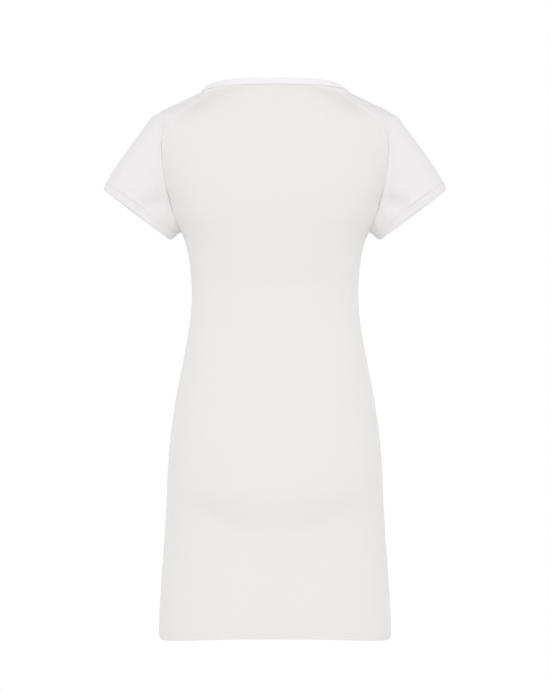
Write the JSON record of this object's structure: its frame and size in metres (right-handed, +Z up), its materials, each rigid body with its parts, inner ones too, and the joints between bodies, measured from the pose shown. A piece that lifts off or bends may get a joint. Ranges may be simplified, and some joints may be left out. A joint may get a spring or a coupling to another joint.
{
  "type": "t-shirt dress",
  "caption": "Short-sleeved raglan T-shirt dress in plain white jersey, hollow and filled out as worn, with a narrow neck band, turned cuffs and a turned hem.",
  "frame": {"origin": "midway between the shoulders, at the height where the shoulder ridges meet the neck, where the wearer's shoulders hold the dress up", "axes": "+Z up; the front faces -Y and the back +Y; +X is the wearer's left"},
  "size_m": [0.533, 0.2425, 0.8639],
  "materials": {
    "jersey": "matt fine cotton jersey, white",
    "band": "matt fine ribbed jersey, white"
  },
  "bodies": {
    "root": {"back": "jersey", "front": "jersey", "sleeve_left": "jersey", "sleeve_right": "jersey", "neck_band": "band"}
  },
  "joints": []
}
